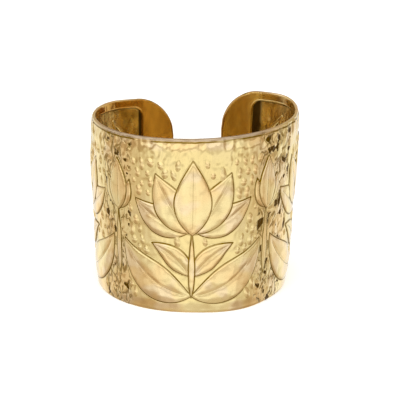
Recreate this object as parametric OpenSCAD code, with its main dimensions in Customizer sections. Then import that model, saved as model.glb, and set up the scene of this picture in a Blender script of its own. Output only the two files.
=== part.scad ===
// Open cuff bangle of brass, standing on its lower rim.
// Seen from above, the gap for the wrist lies at the back, on +Y.
// The plan is a chain of five arcs that run into each other without a corner, from the left end,
// round the front, to the right end. The wall leans in a little towards its lower rim.
// A panel with a raised ornament stands out of the wall, and the same panel is sunk on the inside.
// Lengths along the wall are measured on the outer edge of the top rim, from the middle of the strip.

/* [Wall] */
// Height of the cuff at the front
cuff_h = 54.4; // [40:0.1:70]
// Thickness of the plain wall
wall_t = 1.4; // [1.2:0.1:2]
// How far the lower rim stands in from the top rim
rim_lean = 2.0; // [0:0.1:3]
// How much higher the right end is than the front, and how much lower the left end is
end_rise = 1.6; // [0:0.1:3]
// Radius of the rounded corners at the two ends
end_corner_r = 13; // [4:0.5:18]

/* [Plan] */
// Radius of the arc round the left end
left_end_r = 23.6; // [20:0.1:26]
// Sweep of the arc round the left end
left_end_sweep = 103.8; // [98:0.1:106]
// Radius of the arc along the left side
left_side_r = 28.8; // [26:0.1:32]
// Sweep of the arc along the left side
left_side_sweep = 63.6; // [60:0.1:66]
// Radius of the arc across the front
front_r = 34.6; // [30:0.1:40]
// Sweep of the arc across the front
front_sweep = 45.4; // [40:0.1:50]
// Radius of the arc along the right side
right_side_r = 31.6; // [28:0.1:34]
// Sweep of the arc along the right side
right_side_sweep = 65.4; // [62:0.1:68]
// Radius of the arc round the right end
right_end_r = 18.3; // [16:0.1:22]
// Sweep of the arc round the right end
right_end_sweep = 102.7; // [98:0.1:104]

/* [Panel] */
// Plain border above and below the panel
rim_border = 2.8; // [2:0.1:5]
// Plain border between the panel and each end
end_border = 10.3; // [8:0.1:14]
// Radius of the panel's corners
panel_corner_r = 3; // [1:0.5:5]
// How far the panel stands out of the wall
panel_out = 0.3; // [0.3:0.05:0.8]
// How deep the panel is sunk on the inside
panel_sunk = 0.9; // [0.4:0.05:0.9]

/* [Ornament] */
// How far the ornament stands out of the panel
relief_out = 0.4; // [0.3:0.05:0.8]
// How many flowers stand round the cuff
flowers = 3; // [1:2:3]
// Distance from one flower to the next
flower_pitch = 49; // [47:0.5:49]

/* [Hidden] */

brass = "#d8b46a";
$fn = 96;
// Relief solids reach this far into the wall, and cutting solids this far past it
bite = 0.3;
reach = 4;
// How far one arc runs into the next, and how much thicker the arcs along the sides are for it
lap_length = 0.5;
lap_skin = 0.01;
// Points on each long edge of a blade
blade_steps = 9;

// Arcs of the plan from the left end to the right end, columns: radius, sweep
ARC_R = 0;
ARC_SWEEP = 1;
arcs = [
    [left_end_r, left_end_sweep],
    [left_side_r, left_side_sweep],
    [front_r, front_sweep],
    [right_side_r, right_side_sweep],
    [right_end_r, right_end_sweep],
];
last_arc = len(arcs) - 1;
front_arc = 2;
right_side_arc = 3;

// Directions are angles from straight ahead, -Y, turning towards +X
function facing(angle) = [sin(angle), -cos(angle)];
function sweep_before(i) = i == 0 ? 0 : sweep_before(i - 1) + arcs[i - 1][ARC_SWEEP];
function arc_length(i) = arcs[i][ARC_R] * arcs[i][ARC_SWEEP] * PI / 180;
function length_before(i) = i == 0 ? 0 : length_before(i - 1) + arc_length(i - 1);
all_sweep = sweep_before(last_arc) + arcs[last_arc][ARC_SWEEP];
all_length = length_before(last_arc) + arc_length(last_arc);
// The two ends reach this much further round on the right than on the left
end_skew = 17.7;
function start_of(i) = sweep_before(i) - (all_sweep - end_skew) / 2;

// Each arc's centre lies on the line through the joint with the arc before it
function chained(i) = i == 0 ? [0, 0]
    : chained(i - 1) + (arcs[i - 1][ARC_R] - arcs[i][ARC_R]) * facing(start_of(i));
relief_reach = panel_out + relief_out;
left_x = chained(0)[0] - left_end_r - relief_reach;
right_x = chained(right_side_arc)[0] + right_side_r + relief_reach;
front_y = chained(front_arc)[1] - front_r - relief_reach;
back_y = max(chained(0)[1] + left_end_r, chained(last_arc)[1] + right_end_r);
plan_middle = [(left_x + right_x) / 2, (front_y + back_y) / 2];
function centre_of(i) = chained(i) - plan_middle;

// Where a length along the wall lies: its arc, and its direction on that arc
function arc_at(s, i = 0) =
    i == last_arc || s + all_length / 2 < length_before(i + 1) ? i : arc_at(s, i + 1);
function angle_at(s) =
    start_of(arc_at(s)) + (s + all_length / 2 - length_before(arc_at(s)))
        / arcs[arc_at(s)][ARC_R] * 180 / PI;
function rim_point(s) =
    centre_of(arc_at(s)) + arcs[arc_at(s)][ARC_R] * facing(angle_at(s));

// The rim rises along the right side and falls along the left one
rim_front_y = centre_of(front_arc)[1] - front_r;
rim_slope = end_rise / (back_y - plan_middle[1] - rim_front_y);

// A length of the wall between two offsets from the outer face, both counted outwards.
// The arcs along the sides are a hair thicker, and the others run a little way into them
module strip(inner, outer, trim) {
    top = cuff_h + reach;
    top_lean = rim_lean * reach / cuff_h;
    for (i = [0:last_arc]) {
        r = arcs[i][ARC_R];
        thick = i % 2 == 1;
        skin = thick ? lap_skin : 0;
        lap = thick ? 0 : lap_length;
        first = start_of(i) + (i == 0 ? trim : -lap) / r * 180 / PI;
        last = start_of(i) + arcs[i][ARC_SWEEP] + (i == last_arc ? -trim : lap) / r * 180 / PI;
        translate(centre_of(i))
            rotate([0, 0, first - 90])
                rotate_extrude(angle = last - first)
                    polygon([
                        [r + inner - skin - rim_lean, 0],
                        [r + outer + skin - rim_lean, 0],
                        [r + outer + skin + top_lean, top],
                        [r + inner - skin + top_lean, top],
                    ]);
    }
}

// Everything between a border above the floor and the same border under the sloping rim
module between_rims(border) {
    side = 2 * front_r;
    for (right = [-1, 1])
        intersection() {
            translate([right > 0 ? 0 : -side, -side, border])
                cube([side, 2 * side, cuff_h + reach]);
            translate([-side, rim_front_y, cuff_h - border])
                rotate([right * atan(rim_slope), 0, 0])
                    translate([0, -side, -2 * cuff_h])
                        cube([2 * side, 3 * side, 2 * cuff_h]);
        }
}

// What a rounded corner takes away, seen from the back: sx and sz point at the corner
module corner_cut(corner, r, sx, sz) {
    translate([corner[0], corner[1] + 2 * reach, corner[2]])
        rotate([90, 0, 0])
            linear_extrude(height = 5 * reach)
                difference() {
                    translate([sx > 0 ? -r : -reach, sz > 0 ? -r : -reach])
                        square(r + reach);
                    translate([-sx * r, -sz * r])
                        circle(r);
                }
}

// A strip with a border round it and rounded corners
module plate(inner, outer, border, trim, corner_r) {
    difference() {
        intersection() {
            strip(inner, outer, trim);
            between_rims(border);
        }
        for (right = [-1, 1]) {
            end = rim_point(right * (all_length / 2 - trim));
            top = cuff_h - border + right * rim_slope * (end[1] - rim_front_y);
            corner_cut([end[0], end[1], top], corner_r, -right, 1);
            corner_cut([end[0], end[1], border], corner_r, -right, -1);
        }
    }
}

// A blade is a petal, leaf, bud or stem: it starts at a foot, leaves it in a direction,
// turns evenly on its way and ends in a point. Even the straightest one turns by a degree
LEAST_TURN = 1;
function blade_point(b, t) =
    let (turn = abs(b[TURN]) < LEAST_TURN ? LEAST_TURN : b[TURN], turn_r = b[LONG] * 180 / PI / turn)
    [b[FOOT_S] + turn_r * (sin(b[DIRECTION] + turn * t) - sin(b[DIRECTION])),
     b[FOOT_Z] + turn_r * (cos(b[DIRECTION]) - cos(b[DIRECTION] + turn * t))];
function blade_edge(b, t, side) =
    let (across = b[DIRECTION] + b[TURN] * t + 90 * side,
         half = b[HALF_WIDE] * sin(180 * pow(t, b[BLUNT])))
    blade_point(b, t) + half * [cos(across), sin(across)];
function blade_outline(b) = concat(
    [for (i = [0:blade_steps]) blade_edge(b, i / blade_steps, 1)],
    [for (i = [blade_steps - 1:-1:1]) blade_edge(b, i / blade_steps, -1)]);
function mirrored(b) =
    [-b[FOOT_S], b[FOOT_Z], 180 - b[DIRECTION], -b[TURN], b[LONG], b[HALF_WIDE], b[BLUNT], b[LEVEL]];
function both_sides(rows) = concat(rows, [for (b = rows) mirrored(b)]);

// Columns of the tables of blades. A foot is given from the flower's middle and the lower rim.
// Directions are angles from the way to the right. A blunt value under 1 puts the widest place
// nearer to the foot. The level is the share of the relief that the blade stands out by
FOOT_S = 0;
FOOT_Z = 1;
DIRECTION = 2;
TURN = 3;
LONG = 4;
HALF_WIDE = 5;
BLUNT = 6;
LEVEL = 7;
LEVELS = [0.6, 0.8, 1];

// The middle petal and the stem of a flower, then its right half: leaves and side petals
flower_middle = [
    [0, 25, 90, 0, 23, 5.6, 0.8, 1],
    [0, 5, 90, 0, 22, 1.0, 0.7, 1],
];
flower_half = [
    [0, 5.5, 8, 58, 29, 5.6, 0.85, 0.6],
    [0.6, 12, 60, -40, 16, 3.2, 0.8, 0.8],
    [0.8, 26, 12, 34, 20, 4.4, 0.85, 0.6],
    [0.4, 25.5, 48, 22, 21.5, 5.0, 0.85, 0.8],
];
// The bud that stands between two flowers, in the same way
bud_middle = [
    [0, 30.5, 90, 0, 16.5, 3.5, 0.8, 1],
    [0, 10, 90, 0, 22, 0.9, 0.7, 0.6],
];
bud_half = [
    [0, 31, 48, 36, 11, 2.0, 0.8, 0.8],
];
// The upright leaf near the right end, with its foot given from the middle of the strip
end_leaf = [
    [73, 18.5, 92, 32, 31, 2.7, 0.85, 0.6],
];
flower = concat(flower_middle, both_sides(flower_half));
bud = concat(bud_middle, both_sides(bud_half));
end_leaves = both_sides(end_leaf);

// A blade pushed out of the wall, square to it at the blade's own middle
module blade(b, middle) {
    at = blade_point(b, 0.5)[0];
    arc = arc_at(middle + at);
    r = arcs[arc][ARC_R];
    translate(centre_of(arc))
        rotate([90, 0, angle_at(middle + at)])
            translate([0, 0, r - 2 * rim_lean])
                linear_extrude(height = 2 * rim_lean + reach)
                    polygon([for (p = blade_outline(b)) [r * sin((p[0] - at) / r * 180 / PI), p[1]]]);
}

module blades(rows, level, first, last) {
    for (i = [first:last], b = rows)
        if (b[LEVEL] == level)
            blade(b, i * flower_pitch);
}

module relief() {
    side = (flowers - 1) / 2;
    for (level = LEVELS)
        intersection() {
            plate(panel_out - bite, panel_out + level * relief_out, rim_border, end_border,
                panel_corner_r);
            union() {
                blades(flower, level, -side, side);
                if (flowers > 1)
                    blades(bud, level, -side + 0.5, side - 0.5);
                blades(end_leaves, level, 0, 0);
            }
        }
}

module cuff() {
    color(brass)
        difference() {
            union() {
                plate(-wall_t, 0, 0, 0, end_corner_r);
                plate(-wall_t / 2, panel_out, rim_border, end_border, panel_corner_r);
                relief();
            }
            plate(-wall_t - reach, -wall_t + panel_sunk, rim_border, end_border, panel_corner_r);
        }
}

cuff();
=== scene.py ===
import math

import bmesh
import bpy
from mathutils import Matrix, Vector


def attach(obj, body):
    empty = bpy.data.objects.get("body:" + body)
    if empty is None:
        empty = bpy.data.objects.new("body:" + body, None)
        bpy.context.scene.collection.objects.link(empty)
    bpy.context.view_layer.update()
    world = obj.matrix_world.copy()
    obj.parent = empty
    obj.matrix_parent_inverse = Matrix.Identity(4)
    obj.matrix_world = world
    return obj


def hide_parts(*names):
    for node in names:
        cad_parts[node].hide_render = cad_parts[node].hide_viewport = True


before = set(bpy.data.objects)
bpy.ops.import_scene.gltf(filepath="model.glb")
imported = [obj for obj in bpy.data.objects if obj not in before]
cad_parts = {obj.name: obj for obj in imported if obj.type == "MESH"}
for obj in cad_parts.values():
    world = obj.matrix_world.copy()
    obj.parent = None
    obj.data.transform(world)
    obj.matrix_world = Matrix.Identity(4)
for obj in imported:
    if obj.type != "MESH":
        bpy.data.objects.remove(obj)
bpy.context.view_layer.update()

# The looks of an open brass cuff. It is made the way such a cuff is made: a flat blank is cut,
# the panel and its ornament are pressed into it, and the blank is bent round to its plan.
# In the flat, X runs along the strip, Y up and Z out of the face, all in millimetres.
# Geometry nodes press and bend the blank, and set the drops on the ground of the panel.

MM = 0.001

# Wall of the cuff, as in its CAD solid
HEIGHT = 54.4
WALL = 1.4
RIM_LEAN = 2.0
END_RISE = 1.6
# The corners of the ends are a little fuller than on the solid
END_CORNER = 12.4
# Bends that the solid leaves out: the rim waves beside the front and at the back, and it falls
# towards the ends, from the first to the second of two distances from them
RIM_WAVE = 0.42
BACK_WAVE = 0.4
END_DROP = 0.6
END_DROP_BETWEEN = (26.0, 12.0)
# Plan of the top rim from the left end to the right end: radius, sweep in degrees
PLAN = [
    (23.6, 103.8),
    (28.8, 63.6),
    (34.6, 45.4),
    (31.6, 65.4),
    (18.3, 102.7),
]
FRONT_ARC = 2
RIGHT_SIDE_ARC = 3
END_SKEW = 17.7
# Where the base stands further out in front, on the right: middle, how far it goes, how much
BASE_BULGE = (15.0, 17.0, 1.0)
STRIP = sum(radius * math.radians(sweep) for radius, sweep in PLAN)

# Panel and ornament. The plain ends are a little wider than on the solid, and the panel is a
# little off the middle of the strip, to the right
RIM_BORDER = 2.8
END_BORDER = 10.65
PANEL_OFF = 0.12
PANEL_CORNER = 3.0
PANEL_OUT = 0.1
# How far the wall lies within the solid's wall, so that its waves stay in the solid's box
WALL_IN = 0.2
PANEL_SUNK = 0.9
# How far the CAD solid's ornament stands out of its wall, which places the plan in its box
RELIEF_REACH = 0.7
FLOWERS = 3
PITCH = 49.0

# Blades of the ornament: petals, leaves, buds and stems. A blade leaves its foot in a
# direction, turns evenly and ends in a point. The level is the share of the relief that it
# stands out by, and a rib runs down the middle of the ribbed ones
BLADE_COLUMNS = ("along", "up", "direction", "turn", "long", "half_wide", "blunt", "level",
                 "ribbed")
FLOWER_MIDDLE = [
    (0, 25, 90, 0, 23, 5.6, 0.8, 1.0, 1),
    (0, 5, 90, 0, 22, 1.0, 0.7, 1.0, 0),
]
FLOWER_HALF = [
    (0, 5.5, 8, 58, 29, 5.6, 0.85, 0.6, 1),
    (0.8, 26, 12, 34, 20, 4.4, 0.85, 0.6, 1),
    (0.6, 12, 60, -40, 16, 3.2, 0.8, 0.8, 1),
    (0.4, 25.5, 48, 22, 21.5, 5.0, 0.85, 0.8, 1),
]
BUD_MIDDLE = [
    (0, 10, 90, 0, 22, 0.9, 0.7, 0.6, 0),
    (0, 30.5, 90, 0, 16.5, 3.5, 0.8, 1.0, 1),
]
BUD_HALF = [
    (0, 31, 48, 36, 11, 2.0, 0.8, 0.8, 0),
]
END_LEAF = [
    (73.0, 18.5, 92, 32, 31, 2.7, 0.85, 0.6, 1),
]
LEVELS = (0.6, 0.8, 1.0)
LINE_NAMES = ("line_back", "line_middle", "line_front")
LEAST_TURN = 1

# Camera, from the rims and ends of the cuff in the photograph: pixels of its 400 wide frame
PIXELS = 400
FOCAL_PIXELS = 1542.0
TARGET_PIXEL = (193.2, 201.8)
TARGET = Vector((-0.04, -0.47, 27.0)) * MM
CAMERA_FAR = 0.470
CAMERA_UP = 19.61
CAMERA_ROUND = 1.62
CAMERA_ROLL = 1.18
SENSOR = 36.0


# Wires: sums on node sockets

class Wire:
    """An output of a node. A sum on wires lays down the math nodes for it."""

    def __init__(self, tree, socket):
        self.tree = tree
        self.socket = socket

    def math(self, operation, *others, clamp=False):
        node = self.tree.nodes.new("ShaderNodeMath")
        node.operation = operation
        node.use_clamp = clamp
        for socket, value in zip(node.inputs, (self,) + others):
            feed(self.tree, socket, value)
        return Wire(self.tree, node.outputs[0])

    def __add__(self, other):
        return self.math("ADD", other)

    def __sub__(self, other):
        return self.math("SUBTRACT", other)

    def __mul__(self, other):
        return self.math("MULTIPLY", other)

    def __truediv__(self, other):
        return self.math("DIVIDE", other)

    def __pow__(self, other):
        return self.math("POWER", other)

    def __neg__(self):
        return self.math("MULTIPLY", -1.0)

    def __abs__(self):
        return self.math("ABSOLUTE")

    __radd__ = __add__
    __rmul__ = __mul__

    def __rsub__(self, other):
        return -self + other


def feed(tree, socket, value):
    if isinstance(value, Wire):
        tree.links.new(value.socket, socket)
    elif value is not None:
        socket.default_value = value


def pick(sockets, name):
    """The socket of that name that the node's settings leave in use."""
    return next(s for s in sockets if s.name == name and s.enabled)


def lay(tree, kind, settings=None, **inputs):
    """A new node. An underscore in the name of an input stands for a space."""
    node = tree.nodes.new(kind)
    for name, value in (settings or {}).items():
        setattr(node, name, value)
    for name, value in inputs.items():
        feed(tree, pick(node.inputs, name.replace("_", " ")), value)
    return node


def out(node, name=None):
    return Wire(node.id_data, pick(node.outputs, name) if name else node.outputs[0])


def smaller(a, b):
    return a.math("MINIMUM", b)


def larger(a, b):
    return a.math("MAXIMUM", b)


def step_between(value, low, high):
    """Rises smoothly from 0 at low to 1 at high. High may be the lower of the two."""
    node = lay(value.tree, "ShaderNodeMapRange", {"interpolation_type": "SMOOTHSTEP"},
               Value=value, From_Min=low, From_Max=high)
    return out(node, "Result")


def blend(a, b, share):
    """a where share is 0 and b where it is 1."""
    tree = share.tree
    node = lay(tree, "ShaderNodeMix", Factor=share, A=a, B=b)
    return out(node, "Result")


def vector(tree, x, y, z):
    return out(lay(tree, "ShaderNodeCombineXYZ", X=x, Y=y, Z=z))


def parts_of(wire):
    node = lay(wire.tree, "ShaderNodeSeparateXYZ", Vector=wire)
    return tuple(out(node, axis) for axis in "XYZ")


def noise(tree, place, scale, detail=2.0):
    return out(lay(tree, "ShaderNodeTexNoise", Vector=place, Scale=scale, Detail=detail), "Fac")


def random_between(tree, low, high, seed, kind="FLOAT"):
    node = lay(tree, "FunctionNodeRandomValue", {"data_type": kind}, Min=low, Max=high, Seed=seed)
    return out(node, "Value")


def on_right(along):
    """0 on the left half of the strip and 1 on the right half, with a soft change in front."""
    return step_between(along, -5.0, 5.0)


def below_rim(up, limits):
    """0 at the first of two distances below the top rim and 1 at the second."""
    faded, full = limits
    return step_between(up, HEIGHT - faded, HEIGHT - full)


def crushed_zone(along):
    """1 in the middle of the crumpled ground on either side, 0 beyond it."""
    left, right = (step_between(abs(along - middle), wide, wide * 0.55)
                   for middle, wide in CRUSHED)
    return larger(left, right)


def crumple(tree, along, up):
    """How far a place in the flat lies from the nearest crease of the crumpled ground."""
    squeezed = up * CRUMPLE_SQUEEZE
    place = vector(tree, along, squeezed, 0.0)
    bent = (noise(tree, place, 0.45, detail=1.5) - 0.5) * CRUMPLE_BEND
    place = vector(tree, along + bent, squeezed + bent * 0.5, 0.0)
    node = lay(tree, "ShaderNodeTexVoronoi", {"feature": "DISTANCE_TO_EDGE"},
               Vector=place, Scale=1.0 / CRUMPLE_SIZE, Randomness=1.0)
    return out(node, "Distance") * CRUMPLE_SIZE


SOCKETS = {
    float: "NodeSocketFloat",
    "place": "NodeSocketVector",
    "geometry": "NodeSocketGeometry",
    "object": "NodeSocketObject",
    "material": "NodeSocketMaterial",
    "colour": "NodeSocketColor",
}


def new_group(name, kind, inputs, outputs):
    """An empty node group with named sockets. A number as an input's kind is its usual value."""
    tree = bpy.data.node_groups.new(name, kind)
    for label, usual in inputs.items():
        number = isinstance(usual, (int, float))
        socket = tree.interface.new_socket(
            label, in_out="INPUT", socket_type=SOCKETS[float if number else usual])
        if number:
            socket.default_value = usual
    for label, sort in outputs.items():
        tree.interface.new_socket(label, in_out="OUTPUT", socket_type=SOCKETS[sort])
    source = tree.nodes.new("NodeGroupInput")
    wires = {label: Wire(tree, source.outputs[label]) for label in inputs}
    return tree, wires


def give_out(tree, **results):
    sink = tree.nodes.new("NodeGroupOutput")
    for label, wire in results.items():
        feed(tree, sink.inputs[label.replace("_", " ")], wire)
    for number, node in enumerate(tree.nodes):
        node.location = (220 * (number % 12), -180 * (number // 12))


def use(tree, group, **inputs):
    """A node that holds a group; its outputs by name."""
    kind = "GeometryNodeGroup" if tree.bl_idname == "GeometryNodeTree" else "ShaderNodeGroup"
    node = tree.nodes.new(kind)
    node.node_tree = group
    for name, value in inputs.items():
        feed(tree, node.inputs[name.replace("_", " ")], value)
    return {socket.name: Wire(tree, socket) for socket in node.outputs}


def new_object(name, data):
    made = bpy.data.objects.new(name, data)
    bpy.context.scene.collection.objects.link(made)
    return made


# The plan and the blank

def facing(angle):
    """The direction at an angle from straight ahead, -Y, turning towards +X."""
    return Vector((math.sin(math.radians(angle)), -math.cos(math.radians(angle))))


def plan_arcs():
    """Centre, radius, first angle and sweep of each arc, with the plan's box on the origin."""
    angle = -(sum(sweep for _, sweep in PLAN) - END_SKEW) / 2
    centre = Vector((0, 0))
    arcs = []
    for radius, sweep in PLAN:
        if arcs:
            centre = centre + (arcs[-1][1] - radius) * facing(angle)
        arcs.append((centre, radius, angle, sweep))
        angle += sweep
    reach = RELIEF_REACH
    left = arcs[0][0].x - arcs[0][1] - reach
    right = arcs[RIGHT_SIDE_ARC][0].x + arcs[RIGHT_SIDE_ARC][1] + reach
    front = arcs[FRONT_ARC][0].y - arcs[FRONT_ARC][1] - reach
    back = max(arcs[end][0].y + arcs[end][1] for end in (0, -1))
    middle = Vector(((left + right) / 2, (front + back) / 2))
    return [(c - middle, radius, first, sweep) for c, radius, first, sweep in arcs]


def plan_curve():
    """The outer edge of the top rim as a curve, from the left end to the right end."""
    step = 0.25
    places = []
    for centre, radius, first, sweep in plan_arcs():
        count = round(radius * math.radians(sweep) / step)
        places += [centre + radius * facing(first + sweep * k / count) for k in range(count)]
    places.append(centre + radius * facing(first + sweep))
    data = bpy.data.curves.new("plan", "CURVE")
    data.dimensions = "3D"
    spline = data.splines.new("POLY")
    spline.points.add(len(places) - 1)
    for point, place in zip(spline.points, places):
        point.co = (place.x, place.y, 0, 1)
    return new_object("plan", data)


def graded(*stretches):
    """Places from 0 outwards, both ways. A stretch is where it ends and how far apart."""
    places = [0.0]
    for end, step in stretches:
        start = places[-1]
        count = max(1, round((end - start) / step))
        places += [start + (end - start) * k / count for k in range(1, count + 1)]
    return [-place for place in reversed(places[1:])] + places


def outline_normal(along, up):
    """Which way the blank's edge faces, at a place on or near it."""
    past_side = abs(along) - (STRIP / 2 - END_CORNER)
    past_top = abs(up) - (HEIGHT / 2 - END_CORNER)
    if past_side > 0 and past_top > 0:
        normal = Vector((past_side, past_top)).normalized()
    elif past_side - past_top > END_CORNER - HEIGHT / 2 and past_top <= 0 and past_side > 0:
        normal = Vector((1, 0))
    else:
        normal = Vector((0, 1))
    return Vector((math.copysign(normal.x, along), math.copysign(normal.y, up)))


class Blank:
    """The flat blank: an outer and an inner face with a rounded rim between them."""

    def __init__(self):
        self.places = []
        self.faces = []

    def add(self, place):
        self.places.append(place)
        return len(self.places) - 1

    def face(self, columns, rows, inset, depth):
        """A grid that fills the rounded outline less an inset; returns its edge, all round."""
        corner = END_CORNER - inset
        grid = []
        for along in columns:
            past = abs(along) - (STRIP / 2 - END_CORNER)
            drop = corner - math.sqrt(max(0.0, corner ** 2 - past ** 2)) if past > 0 else 0.0
            squeeze = (HEIGHT / 2 - inset - drop) / (HEIGHT / 2 - inset)
            grid.append([self.add((along, up * squeeze, depth)) for up in rows])
        for left, right in zip(grid, grid[1:]):
            for k in range(len(rows) - 1):
                self.faces.append((left[k], right[k], right[k + 1], left[k + 1]))
        bottom = [column[0] for column in grid]
        top = [column[-1] for column in reversed(grid)]
        return bottom[:-1] + grid[-1][:-1] + top[:-1] + list(reversed(grid[0]))[:-1]

    def ring(self, edge, push, depth):
        """A copy of an edge, pushed outwards in the flat and set at a depth."""
        ring = []
        for number in edge:
            along, up, _ = self.places[number]
            place = Vector((along, up)) + push * outline_normal(along, up)
            ring.append(self.add((place.x, place.y, depth)))
        return ring

    def join(self, first, second):
        """Quads between two rings of the same count."""
        for k in range(len(first)):
            after = (k + 1) % len(first)
            self.faces.append((first[k], first[after], second[after], second[k]))

    def stitch(self, first, second):
        """Triangles between two rings of different counts that start at the same corner."""
        def shares(ring):
            lengths = [0.0]
            for k in range(len(ring)):
                a = Vector(self.places[ring[k]])
                b = Vector(self.places[ring[(k + 1) % len(ring)]])
                lengths.append(lengths[-1] + (b - a).length)
            return [length / lengths[-1] for length in lengths]

        ahead_first = shares(first)
        ahead_second = shares(second)
        i = j = 0
        while i < len(first) or j < len(second):
            a = first[i % len(first)]
            b = second[j % len(second)]
            if j >= len(second) or (i < len(first) and ahead_first[i + 1] <= ahead_second[j + 1]):
                i += 1
                self.faces.append((a, first[i % len(first)], b))
            else:
                j += 1
                self.faces.append((a, second[j % len(second)], b))


# Rounding of the rim towards the outside, along the face and through the wall, and inside
OUTER_ROUND = 0.8
OUTER_ROUND_DEEP = 0.5
INNER_ROUND = 0.3
OUTER_TURNS = (25, 50, 70, 90)
INNER_TURNS = (0, 30, 60)
# How far apart the columns and rows of the blank stand: on the ornament, at the panel's edge
# outside and at its edge inside
ORNAMENT_STEP = 0.4
OUTER_EDGE_STEP = 0.33
INNER_EDGE_STEP = 0.22


def blank_mesh():
    blank = Blank()
    half_panel = STRIP / 2 - END_BORDER
    half_height = HEIGHT / 2
    outer_columns = graded((half_panel - 1.0, ORNAMENT_STEP), (half_panel + 1.0, OUTER_EDGE_STEP),
                           (STRIP / 2 - 2.0, 0.8), (STRIP / 2 - OUTER_ROUND, 0.35))
    outer_rows = graded((half_height - RIM_BORDER - 1.0, ORNAMENT_STEP),
                        (half_height - OUTER_ROUND, 0.32))
    inner_columns = graded((46.0, 1.0), (half_panel - 3.6, 0.45),
                           (half_panel + 0.5, INNER_EDGE_STEP), (STRIP / 2 - INNER_ROUND, 1.1))
    inner_rows = graded((half_height - RIM_BORDER - 3.4, 0.6),
                        (half_height - RIM_BORDER + 0.5, INNER_EDGE_STEP),
                        (half_height - INNER_ROUND, 0.6))
    outer_edge = blank.face(outer_columns, outer_rows, OUTER_ROUND, 0.0)
    inner_edge = blank.face(inner_columns, inner_rows, INNER_ROUND, -WALL)
    ring = outer_edge
    for turn in OUTER_TURNS:
        angle = math.radians(turn)
        after = blank.ring(outer_edge, OUTER_ROUND * math.sin(angle),
                           -OUTER_ROUND_DEEP * (1 - math.cos(angle)))
        blank.join(ring, after)
        ring = after
    for turn in INNER_TURNS:
        angle = math.radians(turn)
        after = blank.ring(outer_edge, OUTER_ROUND - INNER_ROUND * (1 - math.cos(angle)),
                           -WALL + INNER_ROUND * (1 - math.sin(angle)))
        blank.join(ring, after)
        ring = after
    blank.stitch(ring, inner_edge)
    mesh = bpy.data.meshes.new("blank")
    mesh.from_pydata([(x, y + half_height, z) for x, y, z in blank.places], [], blank.faces)
    tidy = bmesh.new()
    tidy.from_mesh(mesh)
    bmesh.ops.recalc_face_normals(tidy, faces=tidy.faces)
    for face in tidy.faces:
        face.smooth = True
    tidy.to_mesh(mesh)
    tidy.free()
    return mesh


# Geometry node groups

def blade_group():
    """How a place in the flat lies to one blade."""
    tree, at = new_group("blade", "GeometryNodeTree", {
        "Along": 0.0, "Up": 0.0, "Foot along": 0.0, "Foot up": 0.0, "Direction": 0.0,
        "Turn": 1.0, "Long": 10.0, "Half wide": 2.0, "Blunt": 0.8,
    }, {"Distance": float, "Across": float, "Share": float, "Lengthwise": float,
        "Fullness": float})
    turn_radius = at["Long"] / at["Turn"]
    side = at["Turn"].math("SIGN")
    x = at["Along"] - at["Foot along"] + turn_radius * at["Direction"].math("SINE")
    y = at["Up"] - at["Foot up"] - turn_radius * at["Direction"].math("COSINE")
    start = at["Direction"] - side * (math.pi / 2)
    angle = (y.math("ARCTAN2", x) - start).math("WRAP", math.pi, -math.pi)
    reach = (x * x + y * y).math("SQRT")
    across = side * (abs(turn_radius) - reach)
    lengthwise = angle / at["Turn"]
    inside = lengthwise.math("ADD", 0.0, clamp=True)
    width = larger((inside ** at["Blunt"] * math.pi).math("SINE"), 0.0)
    half = at["Half wide"] * width
    past = abs(lengthwise - inside) * at["Long"]
    distance = (across * across + past * past).math("SQRT") - half
    share = (abs(across) / larger(half, 0.05)).math("ADD", 0.0, clamp=True)
    give_out(tree, Distance=distance, Across=across, Share=share, Lengthwise=inside,
             Fullness=width ** 0.7)
    return tree


# Relief in millimetres: a blade's flat height by its level, how far it swells above that,
# and the groove that is chased round it and down its rib
LEVEL_OUT = (0.05, 0.14, 0.25)
SWELL = 0.33
LINE_BLEND = 0.3
LINE_BELL = 0.55
LINE_DEPTH = 0.10
RIB_BELL = 0.6
RIB_DEPTH = 0.12
# Where a rib fades in near the foot and out near the point, as shares of the blade's length
RIB_STARTS = (0.04, 0.12)
RIB_ENDS = (0.94, 0.84)
# The least half width of a blade that swells in full, and how hollow its sides are
FULL_SWELL = 3.0
RIBBED_HOLLOW = 0.55
PLAIN_HOLLOW = 0.8
FAR_AWAY = 20.0


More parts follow.
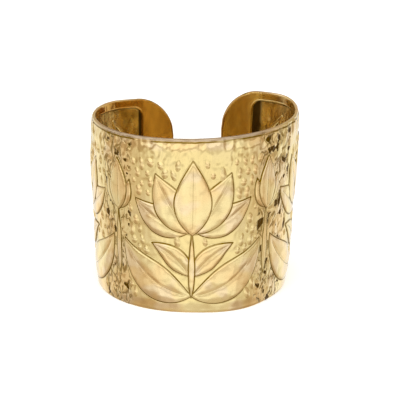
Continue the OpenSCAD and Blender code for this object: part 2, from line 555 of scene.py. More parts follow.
def ornament_group(blade):
    """The relief of the whole ornament at a place in the flat, with its lines and ribs."""
    tree, at = new_group("ornament", "GeometryNodeTree", {
        "Along": 0.0, "Up": 0.0, "Pitch": PITCH,
    }, {"Relief": float, "Line back": float, "Line middle": float, "Line front": float,
        "Rib": float, "Ribbed": float, "Clear": float})
    last = (FLOWERS - 1) / 2
    turns = at["Along"] / at["Pitch"]
    nearest_flower = turns.math("ROUND").math("MAXIMUM", -last).math("MINIMUM", last)
    flower = at["Along"] - nearest_flower * at["Pitch"]
    nearest_bud = ((turns - 0.5).math("ROUND") + 0.5).math("MAXIMUM", 0.5 - last)
    bud = at["Along"] - smaller(nearest_bud, last - 0.5) * at["Pitch"]
    rows = []
    for table, along in ((FLOWER_MIDDLE, flower), (FLOWER_HALF, abs(flower)),
                         (BUD_MIDDLE, bud), (BUD_HALF, abs(bud)), (END_LEAF, abs(at["Along"]))):
        rows += [(dict(zip(BLADE_COLUMNS, row)), along) for row in table]
    rows.sort(key=lambda row: row[0]["level"])
    relief = rib = ribbed = flower * 0.0
    lines = [relief + FAR_AWAY for _ in LEVELS]
    for row, along in rows:
        turn = row["turn"] if abs(row["turn"]) >= LEAST_TURN else LEAST_TURN
        here = use(tree, blade, Along=along, Up=at["Up"], Foot_along=row["along"],
                   Foot_up=row["up"], Direction=math.radians(row["direction"]),
                   Turn=math.radians(turn), Long=row["long"], Half_wide=row["half_wide"],
                   Blunt=row["blunt"])
        distance = here["Distance"]
        level = LEVELS.index(row["level"])
        lines[level] = smaller(lines[level], distance)
        inside = step_between(distance, LINE_BLEND, -LINE_BLEND)
        swell = SWELL * min(1.0, row["half_wide"] / FULL_SWELL) ** 0.7
        side = here["Share"] * 2.0 - 1.0 if row["ribbed"] else here["Share"]
        hollow = RIBBED_HOLLOW if row["ribbed"] else PLAIN_HOLLOW
        fullness = here["Fullness"] * (1.0 - side * side * hollow)
        relief = blend(relief, fullness * swell + LEVEL_OUT[level], inside)
        relief = relief - step_between(abs(distance), LINE_BELL, 0.0) * LINE_DEPTH
        within = distance.math("LESS_THAN", 0.0)
        rib = blend(rib, here["Across"], within)
        runs = (step_between(here["Lengthwise"], *RIB_STARTS)
                * step_between(here["Lengthwise"], *RIB_ENDS) * row["ribbed"])
        ribbed = blend(ribbed, runs, within)
    relief = relief - step_between(abs(rib), RIB_BELL, 0.0) * ribbed * RIB_DEPTH
    clear = smaller(smaller(lines[0], lines[1]), lines[2])
    give_out(tree, Relief=relief, Line_back=lines[0], Line_middle=lines[1], Line_front=lines[2],
             Rib=rib, Ribbed=ribbed, Clear=clear)
    return tree


def panel_group():
    """How far a place in the flat lies outside the rounded panel; less than 0 within it."""
    tree, at = new_group("panel_distance", "GeometryNodeTree", {
        "Along": 0.0, "Up": 0.0, "Rim border": RIM_BORDER, "End border": END_BORDER,
        "Corner": PANEL_CORNER,
    }, {"Distance": float})
    x = abs(at["Along"] - PANEL_OFF) - (STRIP / 2 - at["End border"] - at["Corner"])
    y = abs(at["Up"] - HEIGHT / 2) - (HEIGHT / 2 - at["Rim border"] - at["Corner"])
    outside_x = larger(x, 0.0)
    outside_y = larger(y, 0.0)
    corner = (outside_x * outside_x + outside_y * outside_y).math("SQRT")
    give_out(tree, Distance=corner + smaller(larger(x, y), 0.0) - at["Corner"])
    return tree


# Drops on the ground: how they stand apart and how large they are
DROP_APART = (2.8, 3.0)
DROP_WIDE = 1.0
DROP_LONG = 1.3
DROP_OUT = 0.36
# Rings of a drop from its foot to its peak: share of its width, share of its height
DROP_RINGS = ((1.25, -0.3), (1.05, 0.0), (0.85, 0.16), (0.6, 0.52), (0.32, 0.86))
DROP_SIDES = 10
# How far they keep from the chased lines, from the panel's edge and from the top rim, and the
# share of the crumpled zone past which none stands
DROP_CLEAR = 1.05
DROP_FROM_EDGE = 0.9
DROP_FROM_RIM = 7.5
DROP_CRUSHED = 0.4


def drop_points_group(ornament, panel):
    """Where the drops stand in the flat."""
    tree, at = new_group("drop_places", "GeometryNodeTree", {
        "Apart along": DROP_APART[0], "Apart up": DROP_APART[1], "Stray": 0.4,
        "Clear": DROP_CLEAR, "Seed": 7,
    }, {"Points": "geometry"})
    columns = round(STRIP / DROP_APART[0])
    rows = round(HEIGHT / DROP_APART[1])
    grid = lay(tree, "GeometryNodeMeshGrid", Size_X=at["Apart along"] * (columns - 1),
               Size_Y=at["Apart up"] * (rows - 1), Vertices_X=columns, Vertices_Y=rows)
    x, y, _ = parts_of(out(lay(tree, "GeometryNodeInputPosition")))
    row = (y / at["Apart up"] + rows).math("ROUND")
    shift = row.math("MODULO", 2.0) * at["Apart along"] * 0.5
    stray = random_between(tree, (-1, -1, 0), (1, 1, 0), at["Seed"], "FLOAT_VECTOR")
    stray_x, stray_y, _ = parts_of(stray)
    along = x + shift + stray_x * at["Stray"]
    up = y + HEIGHT / 2 + stray_y * at["Stray"] * 1.3
    placed = lay(tree, "GeometryNodeSetPosition", Geometry=out(grid, "Mesh"),
                 Position=vector(tree, along, up, 0.0))
    x, y, _ = parts_of(out(lay(tree, "GeometryNodeInputPosition")))
    near = use(tree, ornament, Along=x, Up=y)
    edge = use(tree, panel, Along=x, Up=y)["Distance"]
    crowded = larger(near["Clear"].math("LESS_THAN", at["Clear"]),
                     crushed_zone(x).math("GREATER_THAN", DROP_CRUSHED))
    beyond = larger(edge.math("GREATER_THAN", -DROP_FROM_EDGE),
                    y.math("GREATER_THAN", HEIGHT - DROP_FROM_RIM))
    kept = lay(tree, "GeometryNodeDeleteGeometry", Geometry=out(placed),
               Selection=larger(crowded, beyond))
    points = lay(tree, "GeometryNodeMeshToPoints", Mesh=out(kept))
    give_out(tree, Points=out(points))
    return tree


# Unevenness of the worked sheet: wave height and how many waves go to a millimetre
WAVES = ((0.26, 0.09), (0.14, 0.22), (0.06, 0.42))
STROKES = 0.24
CRUSH = 0.3
CRUMPLE_SIZE = 1.9
CRUMPLE_SQUEEZE = 0.45
CRUMPLE_BEND = 4.0
FACETS = 0.8
# Crumpled ground on the left and on the right: its middle along the strip and how far it goes
CRUSHED = ((-25.5, 7.0), (28.3, 9.0))
# Where the panel's shoulder starts and ends, and how far it is drawn up towards the top rim
SHOULDER = (1.4, -2.6)
SHOULDER_UP = 1.4
# How far below the top rim the hammer strokes have faded, and how far below it they are full
STROKES_FADE = (13.0, 6.0)
# Curl of the lower and the upper rim: how high and how far in, and how ragged the upper one is
LOWER_CURL = 3.5
LOWER_CURL_IN = 0.2
UPPER_CURL = 4.1
UPPER_CURL_IN = 0.45
CURL_RAGGED = 9.0


def face_group(panel):
    """How far the outer face of the blank is pushed out, without the ornament."""
    tree, at = new_group("pressed_face", "GeometryNodeTree", {
        "Along": 0.0, "Up": 0.0, "Panel out": PANEL_OUT, "Strokes": STROKES,
        "Lower curl": LOWER_CURL_IN, "Upper curl": UPPER_CURL_IN,
    }, {"Out": float, "Shoulder": float, "Wave": float})
    top_border = larger(at["Up"] - HEIGHT / 2, 0.0).math("MINIMUM", SHOULDER_UP)
    edge = use(tree, panel, Along=at["Along"], Up=at["Up"] - top_border)["Distance"]
    shoulder = step_between(edge, *SHOULDER)
    place = vector(tree, at["Along"], at["Up"], 0.0)
    wave = at["Along"] * 0.0
    for height, often in WAVES:
        wave = wave + (noise(tree, place, often, detail=1.0) - 0.5) * (2.0 * height)
    upright = vector(tree, at["Along"] * 0.9, at["Up"] * 0.3, 0.0)
    strokes = (noise(tree, upright, 1.0, detail=1.5) - 0.5) * at["Strokes"] * 2.0
    under_rim = below_rim(at["Up"], STROKES_FADE)
    wave = wave + strokes * (under_rim * 0.8 + 0.2) * (shoulder * 0.5 + 0.5)
    below = step_between(at["Up"], LOWER_CURL, 0.0)
    tongues = noise(tree, vector(tree, at["Along"], at["Up"] * 0.25, 4.0), 0.5)
    ragged = (tongues - 0.5) * CURL_RAGGED
    above = step_between(at["Up"] + ragged, HEIGHT - UPPER_CURL, HEIGHT)
    curl = below * at["Lower curl"] + above * at["Upper curl"]
    give_out(tree, Out=shoulder * at["Panel out"] + wave * (shoulder * 0.6 + 0.4) - curl,
             Shoulder=shoulder, Wave=wave)
    return tree


def bend_group():
    """Takes a place in the flat, in millimetres, to its place on the bent cuff, in metres."""
    tree, at = new_group("bend_to_plan", "GeometryNodeTree", {
        "Along": 0.0, "Up": 0.0, "Out": 0.0, "Plan": "object", "Height": HEIGHT,
        "Lean": RIM_LEAN, "End rise": END_RISE, "Rim wave": RIM_WAVE,
        "Back wave": BACK_WAVE, "End drop": END_DROP, "Wall in": WALL_IN,
    }, {"Position": "place"})
    plan = lay(tree, "GeometryNodeObjectInfo", Object=at["Plan"])
    sample = lay(tree, "GeometryNodeSampleCurve", {"mode": "LENGTH"},
                 Curves=out(plan, "Geometry"), Length=at["Along"] + STRIP / 2)
    x, y, _ = parts_of(out(sample, "Position"))
    tangent_x, tangent_y, _ = parts_of(out(sample, "Tangent"))
    arcs = plan_arcs()
    front_y = arcs[FRONT_ARC][0].y - arcs[FRONT_ARC][1]
    back_y = max(arcs[end][0].y + arcs[end][1] for end in (0, -1))
    high = at["Up"] / at["Height"]
    rise = x.math("SIGN") * (y - front_y) * at["End rise"] / (back_y - front_y)
    wave = larger(tangent_x, 0.0) * tangent_y * 2.0 * at["Rim wave"]
    wave = wave + larger(-tangent_x, 0.0) * abs(tangent_y) * 2.0 * at["Back wave"]
    first, last = END_DROP_BETWEEN
    near_end = step_between(abs(at["Along"]), STRIP / 2 - first, STRIP / 2 - last)
    wave = wave - near_end * at["End drop"]
    middle, wide, bulge = BASE_BULGE
    lean = at["Lean"] - step_between(abs(at["Along"] - middle), wide, 0.0) * bulge
    push = at["Out"] - at["Wall in"] - lean * (1.0 - high)
    bent = vector(tree, (x + tangent_y * push) * MM, (y - tangent_x * push) * MM,
                  (at["Up"] + (rise + wave) * high) * MM)
    give_out(tree, Position=bent)
    return tree


def store(tree, geometry, name, value, kind="FLOAT"):
    return out(lay(tree, "GeometryNodeStoreNamedAttribute", {"data_type": kind},
                   Geometry=geometry, Name=name, Value=value))


def stored_value(tree, name, axis=None):
    """A stored attribute read back, or one axis of it."""
    kind = "FLOAT" if axis is None else "FLOAT_VECTOR"
    value = out(lay(tree, "GeometryNodeInputNamedAttribute", {"data_type": kind}, Name=name),
                "Attribute")
    return value if axis is None else parts_of(value)[axis]


# The sunk panel inside: where its edge starts to sink and is sunk, the dent behind a drop, how far
# from the drop it starts and is full, how far from its ends the panel has its full depth, and the
# share of the relief that shows in it
SUNK_EDGE = (0.12, -0.3)
DENT = 0.28
DENT_FROM = (0.8, 0.1)
WINDOW_FILLET = 2.2
INSIDE_SHARE = 0.85


def cuff_tree(ornament, panel, face, drop_places, bend):
    """Presses the panel and its ornament into the flat blank and bends it round."""
    tree, at = new_group("press_and_bend", "GeometryNodeTree", {
        "Blank": "geometry", "Plan": "object", "Wall": WALL, "Panel sunk": PANEL_SUNK,
        "Crush": CRUSH, "Facets": FACETS, "Dent": DENT, "Outside": "material",
        "Frame": "material", "Sunk": "material",
    }, {"Cuff": "geometry"})
    place = out(lay(tree, "GeometryNodeInputPosition"))
    along, up, depth = parts_of(place)
    shape = use(tree, ornament, Along=along, Up=up)
    edge = use(tree, panel, Along=along, Up=up)["Distance"]
    pressed = use(tree, face, Along=along, Up=up)
    ground = step_between(shape["Clear"], 0.1, 1.0)
    zone = crushed_zone(along) * ground
    facets = noise(tree, vector(tree, along, up * 0.6, 5.0), 0.38, detail=1.0) - 0.5
    creases = (smaller(crumple(tree, along, up), 0.5) - 0.2) * at["Crush"]
    crush = (creases + facets * at["Facets"] * (on_right(along) * 0.6 + 0.5)) * zone
    outer = pressed["Out"] + (shape["Relief"] + crush) * pressed["Shoulder"]
    drops = use(tree, drop_places)["Points"]
    squeezed = lay(tree, "GeometryNodeTransform", Geometry=drops, Scale=(1.0, 0.5, 1.0))
    near = lay(tree, "GeometryNodeProximity", {"target_element": "POINTS"},
               Geometry=out(squeezed), Sample_Position=vector(tree, along, up * 0.5, 0.0))
    drop_gap = out(near, "Distance")
    past_end = STRIP / 2 - END_BORDER - abs(along - PANEL_OFF)
    fillet = step_between(past_end, -0.5, WINDOW_FILLET) * 0.5 + 0.5
    window = step_between(edge, *SUNK_EDGE) * fillet
    hollow = shape["Relief"] + crush + step_between(drop_gap, *DENT_FROM) * at["Dent"]
    inner = window * (at["Panel sunk"] + hollow * INSIDE_SHARE) + pressed["Wave"] * 0.5
    outwards = (depth / at["Wall"] + 1.0).math("ADD", 0.0, clamp=True)
    push = depth + blend(inner, outer, outwards)
    stored = at["Blank"]
    for name, value in (("line_back", shape["Line back"]), ("line_middle", shape["Line middle"]),
                        ("line_front", shape["Line front"]), ("rib", shape["Rib"]),
                        ("ribbed", shape["Ribbed"]), ("drop_gap", drop_gap),
                        ("panel_edge", edge), ("crushed", zone)):
        stored = store(tree, stored, name, value)
    stored = store(tree, stored, "flat", place, "FLOAT_VECTOR")
    bent = use(tree, bend, Along=along, Up=up, Out=push, Plan=at["Plan"])["Position"]
    moved = lay(tree, "GeometryNodeSetPosition", Geometry=stored, Position=bent)
    cuff = out(lay(tree, "GeometryNodeRealizeInstances", Geometry=out(moved)))
    on_inside = stored_value(tree, "flat", 2).math("LESS_THAN", -WALL + 0.01)
    in_window = on_inside * stored_value(tree, "panel_edge").math("LESS_THAN", -0.2)
    for material, faces in (("Outside", None), ("Frame", on_inside), ("Sunk", in_window)):
        cuff = out(lay(tree, "GeometryNodeSetMaterial", Geometry=cuff, Material=at[material],
                       Selection=faces))
    give_out(tree, Cuff=cuff)
    return tree


def drops_tree(face, drop_places, bend):
    """Stands a drop on each of its places and bends them round with the wall."""
    tree, at = new_group("set_drops", "GeometryNodeTree", {
        "Start": "geometry", "Drop": "object", "Plan": "object", "Smallest": 0.7,
        "Largest": 1.15, "Longest": 1.8, "Seed": 11, "Metal": "material",
    }, {"Drops": "geometry"})
    drop = lay(tree, "GeometryNodeObjectInfo", Object=at["Drop"])
    wide = random_between(tree, at["Smallest"], at["Largest"], at["Seed"])
    tilt = random_between(tree, -0.1, 0.35, at["Seed"] + 1.0)
    turned = vector(tree, 0.0, 0.0, tilt)
    drawn_out = random_between(tree, 0.9, at["Longest"], at["Seed"] + 2.0)
    scale = vector(tree, wide, wide * drawn_out, wide)
    placed = lay(tree, "GeometryNodeInstanceOnPoints", Points=use(tree, drop_places)["Points"],
                 Instance=out(drop, "Geometry"), Rotation=turned, Scale=scale)
    real = lay(tree, "GeometryNodeRealizeInstances", Geometry=out(placed))
    place = out(lay(tree, "GeometryNodeInputPosition"))
    along, up, depth = parts_of(place)
    stored = store(tree, out(real), "flat", place, "FLOAT_VECTOR")
    pressed = use(tree, face, Along=along, Up=up)["Out"]
    bent = use(tree, bend, Along=along, Up=up, Out=depth + pressed, Plan=at["Plan"])
    moved = lay(tree, "GeometryNodeSetPosition", Geometry=stored, Position=bent["Position"])
    metal = lay(tree, "GeometryNodeSetMaterial", Geometry=out(moved), Material=at["Metal"])
    give_out(tree, Drops=out(metal))
    return tree


def drop_mesh():
    """One drop in the flat: a dome that flares into the ground, drawn out towards its top."""
    count = DROP_SIDES
    mesh = bpy.data.meshes.new("drop")
    shape = bmesh.new()
    loops = []
    for share, height in DROP_RINGS:
        loop = []
        for k in range(count):
            angle = 2 * math.pi * k / count
            up = math.sin(angle)
            wide = DROP_WIDE * (1 - 0.12 * max(0.0, up))
            long = DROP_LONG * (1.08 if up > 0 else 0.92)
            loop.append(shape.verts.new((math.cos(angle) * wide * share, up * long * share,
                                         height * DROP_OUT)))
        loops.append(loop)
    for low, high in zip(loops, loops[1:]):
        for k in range(count):
            after = (k + 1) % count
            shape.faces.new((low[k], low[after], high[after], high[k]))
    peak = shape.verts.new((0, 0, DROP_OUT))
    for k in range(count):
        shape.faces.new((loops[-1][k], loops[-1][(k + 1) % count], peak))
    shape.faces.new(list(reversed(loops[0])))
    for face in shape.faces:
        face.smooth = True
    shape.to_mesh(mesh)
    shape.free()
    return mesh


# Materials

def attribute(tree, name, part="Fac"):
    node = lay(tree, "ShaderNodeAttribute", {"attribute_name": name})
    return out(node, part)


def in_flat(tree):
    """The place in the flat: along the strip, up and out of the face."""
    return parts_of(attribute(tree, "flat", "Vector"))


def chased_group():
    """Masks of the chased lines: 1 in the middle of an outline or a rib."""
    tree, at = new_group("chased_lines", "ShaderNodeTree", {
        "Line width": 0.28, "Rib width": 0.16,
    }, {"Line": float, "Rib": float, "Field": float})
    covered = None
    line = None
    for name in reversed(LINE_NAMES):
        distance = attribute(tree, name)
        here = step_between(abs(distance), at["Line width"], at["Line width"] * 0.35)
        within = step_between(distance, 0.0, -0.05)
        line = here if line is None else larger(line, here * (1.0 - covered))
        covered = within if covered is None else larger(covered, within)
    across = abs(attribute(tree, "rib"))
    rib = step_between(across, at["Rib width"], at["Rib width"] * 0.2) * attribute(tree, "ribbed")
    give_out(tree, Line=line, Rib=rib * covered, Field=covered)
    return tree


def polish_group():
    """Hand polish: fine scratches along the strip, smudges and a slow change of tone."""
    tree, at = new_group("hand_polish", "ShaderNodeTree", {
        "Streaks": 1.0,
    }, {"Streak": float, "Smudge": float, "Tone": float, "Cloud": float})
    x, y, z = in_flat(tree)
    streaks = noise(tree, vector(tree, x * 0.35, y * 5.0, z), 1.3, detail=3.0)
    upright = noise(tree, vector(tree, x * 4.0, y * 0.4, z), 1.1, detail=3.0)
    mixed = (streaks + upright - 1.0) * at["Streaks"]
    place = vector(tree, x, y, z * 3.0)
    give_out(tree, Streak=mixed, Smudge=noise(tree, place, 0.35, detail=4.0),
             Tone=noise(tree, place, 0.07, detail=2.0), Cloud=noise(tree, place, 0.11, detail=1.0))
    return tree


def colour(rgb):
    return tuple(rgb) + (1.0,)


PALE_GOLD = (0.94, 0.77, 0.39)
WARM_GOLD = (0.95, 0.69, 0.33)
PEACH_GOLD = (0.95, 0.75, 0.45)
GROUND_GOLD = (0.89, 0.715, 0.32)
CUT_EDGE = (0.62, 0.48, 0.33)
# Olive brown of the chased lines, also used for the painted shadow under the top rim
LINE_AND_SHADOW_OLIVE = (0.26, 0.15, 0.0)
AMBER = (1.0, 0.79, 0.34)
DEEP_AMBER = (0.88, 0.55, 0.15)
END_EDGE = (0.50, 0.30, 0.10)
CUT_BROWN = (0.42, 0.29, 0.17)
SUNK_GOLD = (0.97, 0.73, 0.27)
OLIVE = (0.56, 0.41, 0.12)
# Painted shade in the corners of the sunk panel inside
RECESS_SHADE = (0.05, 0.022, 0.0)
# Dark brown of the blots in the crumpled ground
BLOT_BROWN = (0.13, 0.065, 0.0)


def mix_colour(tree, a, b, share):
    node = lay(tree, "ShaderNodeMix", {"data_type": "RGBA"}, Factor=share)
    for name, value in (("A", a), ("B", b)):
        feed(tree, pick(node.inputs, name), value if isinstance(value, Wire) else colour(value))
    return out(node, "Result")


def new_material(name):
    material = bpy.data.materials.new(name)
    material.use_nodes = True
    tree = material.node_tree
    shader = next(n for n in tree.nodes if n.type == "BSDF_PRINCIPLED")
    return material, tree, shader


def new_brass(name):
    material, tree, shader = new_material(name)
    shader.inputs["Metallic"].default_value = 1.0
    return material, tree, shader


def bump(tree, height):
    """The normal of a surface with a height in millimetres on it."""
    return out(lay(tree, "ShaderNodeBump", Height=height, Distance=MM, Strength=1.0), "Normal")


def worked_gold(tree, worn):
    """The colour of the outside: yellow gold with warmer and paler clouds in it."""
    gold = mix_colour(tree, PALE_GOLD, WARM_GOLD, step_between(worn["Tone"], 0.4, 0.6))
    return mix_colour(tree, gold, PEACH_GOLD, step_between(worn["Cloud"], 0.5, 0.62))


# Along the strip: where the beige and brown tone of the cut rim fades out on either side, where
# the ground turns paler, where the edge of the ends turns dark, and the middle of the painted
# highlight on the frame inside
CUT_LEFT = (-46.0, -26.0)
CUT_RIGHT = (34.0, 18.0)
GROUND_FADES = (10.0, 22.0)
END_EDGE_FROM = (62.0, 74.0)
FRAME_HIGHLIGHT_MIDDLE = 52.0
# How far below the top rim, from faded to full: the crumpled ground's blots, its cracks, and the
# beige and brown tone of the cut rim, which also fades out near the base
BLOTS_BELOW = (0.9, 2.2)
CRACKS_BELOW = (0.3, 0.8)
CUT_BELOW = (0.8, 0.62)
CUT_ABOVE_BASE = (4.0, 8.0)
# Painted shade at the left and at the right end of the sunk panel: how wide
RECESS_SHADE_WIDE = (1.5, 3.9)


def relief_brass(chased, polish):
    """The outside: pale gold with brown left in the chased lines, dark brown marks in the crushed
    ground and a painted shadow line under the top rim.
    """
    material, tree, shader = new_brass("relief_brass")
    lines = use(tree, chased)
    worn = use(tree, polish)
    x, y, z = in_flat(tree)
    dirt = step_between(worn["Smudge"], 0.38, 0.6)
    in_lines = 0.72 + dirt * 0.1 + step_between(worn["Cloud"], 0.4, 0.58) * 0.25
    brown = larger(lines["Line"] * in_lines, lines["Rib"] * 0.3)
    crushed = attribute(tree, "crushed")
    in_crush = step_between(crushed, 0.1, 0.5) * below_rim(y, BLOTS_BELOW)
    right = on_right(x)
    deep = noise(tree, vector(tree, x, y * 0.6, 9.0), 0.5, detail=1.0)
    depth = step_between(deep - right * 0.05, 0.37, 0.5) * 0.3
    creases = step_between(crumple(tree, x, y), depth, 0.0)
    near_rim = step_between(crushed, 0.1, 0.5) * below_rim(y, CRACKS_BELOW)
    cracks = creases * near_rim
    brown = larger(brown, cracks * 0.76)
    # Dark brown blots in the crumpled ground, with dents under them
    blots = noise(tree, vector(tree, x * 1.1 + 31.0, y * 0.8, 0.0), 0.3, detail=2.5)
    pits = step_between(blots + right * 0.02, 0.592, 0.627) * in_crush
    cut = larger(below_rim(y, CUT_BELOW), step_between(z, -0.08, -0.2))
    cut = cut * step_between(x, *CUT_LEFT) * step_between(x, *CUT_RIGHT)
    cut = cut * step_between(y, *CUT_ABOVE_BASE)
    # A painted shadow: a broken dark line just under the top rim
    under_cut = step_between(noise(tree, vector(tree, x * 0.12, y, 0.0), 1.0), 0.36, 0.5)
    rim_shadow_line = step_between(abs(y - (HEIGHT - OUTER_ROUND - 0.2)), 0.38, 0.1) * under_cut
    brown = larger(brown, rim_shadow_line)
    ground = (1.0 - lines["Field"]) * step_between(attribute(tree, "panel_edge"), 0.5, -1.5)
    ground = ground * (1.0 - crushed * 0.9) * (1.0 - step_between(abs(x), *GROUND_FADES) * 0.4)
    gold = mix_colour(tree, worked_gold(tree, worn), GROUND_GOLD, ground * 0.8)
    filed = noise(tree, vector(tree, x * 0.3, z * 6.0, y * 6.0), 1.0, detail=2.0)
    # Beige and brown tone of the cut rim in front, with file marks
    cut_tone = mix_colour(tree, CUT_BROWN, CUT_EDGE, step_between(filed, 0.35, 0.55))
    gold = mix_colour(tree, gold, cut_tone, cut)
    end_edge = step_between(z, -0.2, -0.45) * step_between(abs(x), *END_EDGE_FROM)
    gold = mix_colour(tree, gold, END_EDGE, end_edge)
    gold = mix_colour(tree, gold, LINE_AND_SHADOW_OLIVE, brown)
    feed(tree, shader.inputs["Base Color"], mix_colour(tree, gold, BLOT_BROWN, pits))
    rough = worn["Smudge"] * 0.14 + 0.04 + brown * 0.2 + cut * 0.15 + pits * 0.3
    feed(tree, shader.inputs["Roughness"], rough)
    file_marks = noise(tree, vector(tree, x * 3.0 + z * 4.0, z, y), 1.0, detail=2.0) * cut
    height = (lines["Line"] * -0.08 + lines["Rib"] * -0.03
              + worn["Streak"] * (lines["Field"] * 0.006 + 0.006)
              + file_marks * 0.04 - pits * 0.15 - cracks * 0.1)
    feed(tree, shader.inputs["Normal"], bump(tree, height))
    return material


def lip_and_highlight(edge):
    """The rounded lip of the frame round the sunk panel: a bump, and a painted highlight in its
    colour.
    """
    return step_between(abs(edge - 0.26), 0.22, 0.05) * 0.35


def frame_brass(polish):
    """The plain frame inside: smooth and warm."""
    material, tree, shader = new_brass("frame_brass")
    worn = use(tree, polish, Streaks=0.6)
    x, _, _ = in_flat(tree)
    paler = step_between(x + worn["Tone"] * 30.0, -10.0, 50.0)
    amber = mix_colour(tree, DEEP_AMBER, AMBER, paler)
    lip = lip_and_highlight(attribute(tree, "panel_edge"))
    # A painted highlight: a pale stretch on the frame inside, towards the right end
    amber = mix_colour(tree, amber, PALE_GOLD, step_between(abs(x - FRAME_HIGHLIGHT_MIDDLE), 14.0, 8.0))
    # The lip is painted pale gold: a painted highlight on its rounded edge
    feed(tree, shader.inputs["Base Color"], mix_colour(tree, amber, PALE_GOLD, lip))
    feed(tree, shader.inputs["Roughness"], worn["Smudge"] * 0.12 + 0.10)
    feed(tree, shader.inputs["Normal"], bump(tree, worn["Streak"] * 0.006 + lip * 0.1))
    return material


def sunk_brass(chased, polish):
    """The sunk panel inside: duller, with the ornament showing through from behind, and painted
    shade in a thin band round its edge and a wider one at its ends.
    """
    material, tree, shader = new_brass("sunk_brass")
    lines = use(tree, chased, Line_width=0.6)
    worn = use(tree, polish)
    x, y, _ = in_flat(tree)
    edge = attribute(tree, "panel_edge")
    past_end = STRIP / 2 - END_BORDER - abs(x - PANEL_OFF)
    wider = on_right(x) * (RECESS_SHADE_WIDE[1] - RECESS_SHADE_WIDE[0]) + RECESS_SHADE_WIDE[0]
    # Painted shade: dark bands at the ends of the sunk panel and a thin one round its edge
    recess_shade = larger(step_between(past_end, wider, wider * 0.6) * 0.96,
                   step_between(edge, -0.8, -0.4) * 0.6)
    mottled = noise(tree, vector(tree, x, y * 0.6, 0.0), 0.3, detail=2.5)
    duller = step_between(mottled + step_between(x, 60.0, -20.0) * 0.06, 0.42, 0.68)
    base = mix_colour(tree, SUNK_GOLD, OLIVE, duller)
    base = mix_colour(tree, base, PALE_GOLD, lines["Line"] * 0.75)
    feed(tree, shader.inputs["Base Color"], mix_colour(tree, base, RECESS_SHADE, recess_shade))
    feed(tree, shader.inputs["Roughness"], worn["Smudge"] * 0.16 + 0.17 + recess_shade * 0.2)
    height = lines["Line"] * 0.22 + worn["Streak"] * 0.02 + mottled * 0.34
    feed(tree, shader.inputs["Normal"], bump(tree, height))
    return material


def drop_brass(polish):
    """The drops: polished on top, with the tone of the ground at the foot."""
    material, tree, shader = new_brass("drop_brass")
    worn = use(tree, polish)
    _, _, z = in_flat(tree)
    gold = mix_colour(tree, PALE_GOLD, WARM_GOLD, step_between(worn["Tone"], 0.35, 0.65))
    gold = mix_colour(tree, gold, GROUND_GOLD, step_between(z, 0.15, 0.0))
    feed(tree, shader.inputs["Base Color"], gold)
    feed(tree, shader.inputs["Roughness"], worn["Smudge"] * 0.14 + 0.12)
    return material


# Building

def run_nodes(start, tree, values):
    """Runs a geometry tree on an object and returns the result as a plain mesh object."""
    modifier = start.modifiers.new(tree.name, "NODES")
    modifier.node_group = tree
    for item in tree.interface.items_tree:
        if item.item_type == "SOCKET" and item.in_out == "INPUT" and item.name in values:
            modifier[item.identifier] = values[item.name]
    bpy.context.view_layer.update()
    graph = bpy.context.evaluated_depsgraph_get()
    mesh = bpy.data.meshes.new_from_object(start.evaluated_get(graph), depsgraph=graph)
    start.modifiers.remove(modifier)
    return mesh


def build_cuff():
    blade = blade_group()
    ornament = ornament_group(blade)
    panel = panel_group()
    face = face_group(panel)
    drop_places = drop_points_group(ornament, panel)
    bend = bend_group()
    chased = chased_group()
    polish = polish_group()
    plan = plan_curve()
    drop = new_object("drop", drop_mesh())
    cuff = new_object("cuff_metal", blank_mesh())
    cuff.data = run_nodes(cuff, cuff_tree(ornament, panel, face, drop_places, bend), {
        "Plan": plan, "Outside": relief_brass(chased, polish), "Frame": frame_brass(polish),
        "Sunk": sunk_brass(chased, polish)})
    drops = new_object("cuff_drops", bpy.data.meshes.new("drops"))
    drops.data = run_nodes(drops, drops_tree(face, drop_places, bend), {
        "Plan": plan, "Drop": drop, "Metal": drop_brass(polish)})
    for helper in (plan, drop):
        bpy.data.objects.remove(helper)
    for piece in (cuff, drops):
        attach(piece, "root")
        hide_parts("cuff")


# Half of the table's side, in metres, and its glow for the camera. Then the sheet inside the
# cuff: the glow that the metal mirrors, how far above the table and how far off the wall
FLOOR_HALF = 1.5
FLOOR_GLOW = 0.36
INSIDE_GLOW = 0.20
INSIDE_UP = 0.02
INSIDE_CLEAR = 0.6


def floor_piece(name, corners, material):
    mesh = bpy.data.meshes.new(name)
    mesh.from_pydata(corners, [], [tuple(range(len(corners)))])
    mesh.materials.append(material)
    floor = new_object(name, mesh)
    return floor


def build_floor():
    """A white table. The metal mirrors the studio in its place, and inside a sheet just above."""
    material, tree, shader = new_material("white_table")
    shader.inputs["Base Color"].default_value = (0.95, 0.95, 0.95, 1.0)
    shader.inputs["Roughness"].default_value = 0.8
    shader.inputs["Specular IOR Level"].default_value = 0.0
    path = lay(tree, "ShaderNodeLightPath")
    glow = out(path, "Is Camera Ray") * FLOOR_GLOW + out(path, "Is Glossy Ray") * INSIDE_GLOW
    shader.inputs["Emission Color"].default_value = (1, 1, 1, 1)
    feed(tree, shader.inputs["Emission Strength"], glow)
    half = FLOOR_HALF
    table = floor_piece("table", [(-half, -half, 0), (half, -half, 0), (half, half, 0),
                                  (-half, half, 0)], material)
    table.visible_glossy = False
    table.visible_shadow = False
    inset = RIM_LEAN + WALL + INSIDE_CLEAR
    ring = []
    for centre, radius, first, sweep in plan_arcs():
        steps = max(2, round(sweep / 8))
        ring += [centre + (radius - inset) * facing(first + sweep * k / steps)
                 for k in range(steps)]
    ring.append(centre + (radius - inset) * facing(first + sweep))
    inner = [(place.x * MM, place.y * MM, INSIDE_UP * MM) for place in ring]
    floor_piece("table_inside", inner, material)


# Brightness of the studio in front, at the sides and behind: the table, the dark walls at eye
# height, and the lamps above them. Then its brightness straight up
TABLE = (1.07, 0.76, 1.03)
WALLS = (0.78, 0.50, 0.90)
LAMPS = (1.16, 0.85, 0.55)
TOP = 0.85
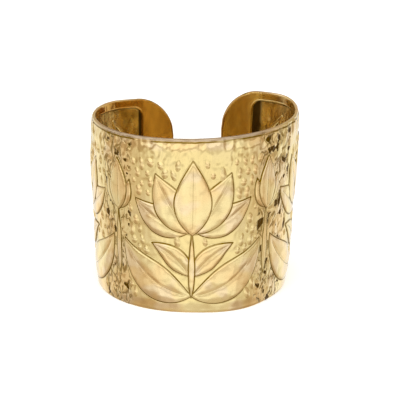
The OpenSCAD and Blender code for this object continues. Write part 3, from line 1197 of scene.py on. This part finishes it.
# Where each starts and is full, by how far the direction points up. Then where the table is
# darker, and by how much
WALLS_FROM = (-0.33, -0.23)
LAMPS_FROM = (-0.07, 0.0)
TOP_FROM = (0.6, 0.85)
NEAR_TABLE = (-0.43, -0.62)
NEAR_DARKER = 0.36
# Where the front and the back start and are full, by how far the direction points ahead
FRONT_FROM = (0.58, 0.86)
BACK_FROM = (-0.3, -0.62)
# How uneven the upright bands are, and the tones of the bright and of the dim places
BANDS = 0.6
COOL = (1.0, 0.99, 0.97)
WARM = (1.0, 0.81, 0.60)
# The lamp that casts the shadow: its place and its aim, its sides in metres and its power
LAMP_PLACE = Vector((0.0, -0.25, 0.7))
LAMP_AIM = Vector((0, 0, 0.03))
LAMP_SIDES = (0.6, 0.4)
LAMP_POWER = 1.5


def build_light():
    world = bpy.data.worlds.new("studio")
    world.use_nodes = True
    tree = world.node_tree
    background = tree.nodes["Background"]
    place = out(lay(tree, "ShaderNodeTexCoord"), "Generated")
    x, y, up = parts_of(place)
    flat = larger((x * x + y * y).math("SQRT"), 0.001)
    front = -y / flat
    right = x / flat
    to_front = step_between(front + right * 0.08, *FRONT_FROM)
    to_back = step_between(front, *BACK_FROM)

    def around(values):
        ahead, sides, behind = values
        return blend(blend(sides, ahead, to_front), behind, to_back)

    table = around(TABLE) * (1.0 - step_between(up, *NEAR_TABLE) * NEAR_DARKER)
    shade = blend(table, around(WALLS), step_between(up, *WALLS_FROM))
    shade = blend(shade, around(LAMPS) * (1.0 - right * 0.15), step_between(up, *LAMPS_FROM))
    shade = blend(shade, TOP, step_between(up, *TOP_FROM))
    upright = noise(tree, vector(tree, right, up * 0.15, front), 5.0, detail=1.5) - 0.5
    shade = shade * (0.88 + 0.24 * noise(tree, place, 3.0, detail=1.0) + upright * BANDS)
    bright = step_between(shade, 0.48, 0.92)
    tint = mix_colour(tree, WARM, COOL, bright)
    node = lay(tree, "ShaderNodeVectorMath", {"operation": "SCALE"})
    feed(tree, node.inputs[0], tint)
    feed(tree, node.inputs["Scale"], shade)
    feed(tree, background.inputs["Color"], out(node, "Vector"))
    background.inputs["Strength"].default_value = 1.0
    bpy.context.scene.world = world
    lamp = bpy.data.lights.new("top", "AREA")
    lamp.shape = "RECTANGLE"
    lamp.size, lamp.size_y = LAMP_SIDES
    lamp.energy = LAMP_POWER
    light = new_object("top", lamp)
    light.location = LAMP_PLACE
    light.rotation_euler = (LAMP_AIM - LAMP_PLACE).to_track_quat("-Z", "Y").to_euler()
    light.visible_glossy = False


def build_camera():
    data = bpy.data.cameras.new("camera")
    data.sensor_width = SENSOR
    data.lens = FOCAL_PIXELS * SENSOR / PIXELS
    data.clip_start = 0.01
    camera = new_object("camera", data)
    up, round_ = math.radians(CAMERA_UP), math.radians(CAMERA_ROUND)
    back = Vector((math.sin(round_) * math.cos(up), -math.cos(round_) * math.cos(up),
                   math.sin(up)))
    place = TARGET + back * CAMERA_FAR
    turn = back.to_track_quat("Z", "Y")
    off = [(pixel - PIXELS / 2) / FOCAL_PIXELS for pixel in TARGET_PIXEL]
    swing = Matrix.Rotation(off[0], 4, "Y") @ Matrix.Rotation(off[1], 4, "X")
    roll = Matrix.Rotation(math.radians(CAMERA_ROLL), 4, "Z")
    camera.matrix_world = Matrix.Translation(place) @ turn.to_matrix().to_4x4() @ swing @ roll
    bpy.context.scene.camera = camera


build_camera()
build_light()
build_floor()
build_cuff()
bpy.context.scene.view_settings.view_transform = "Standard"
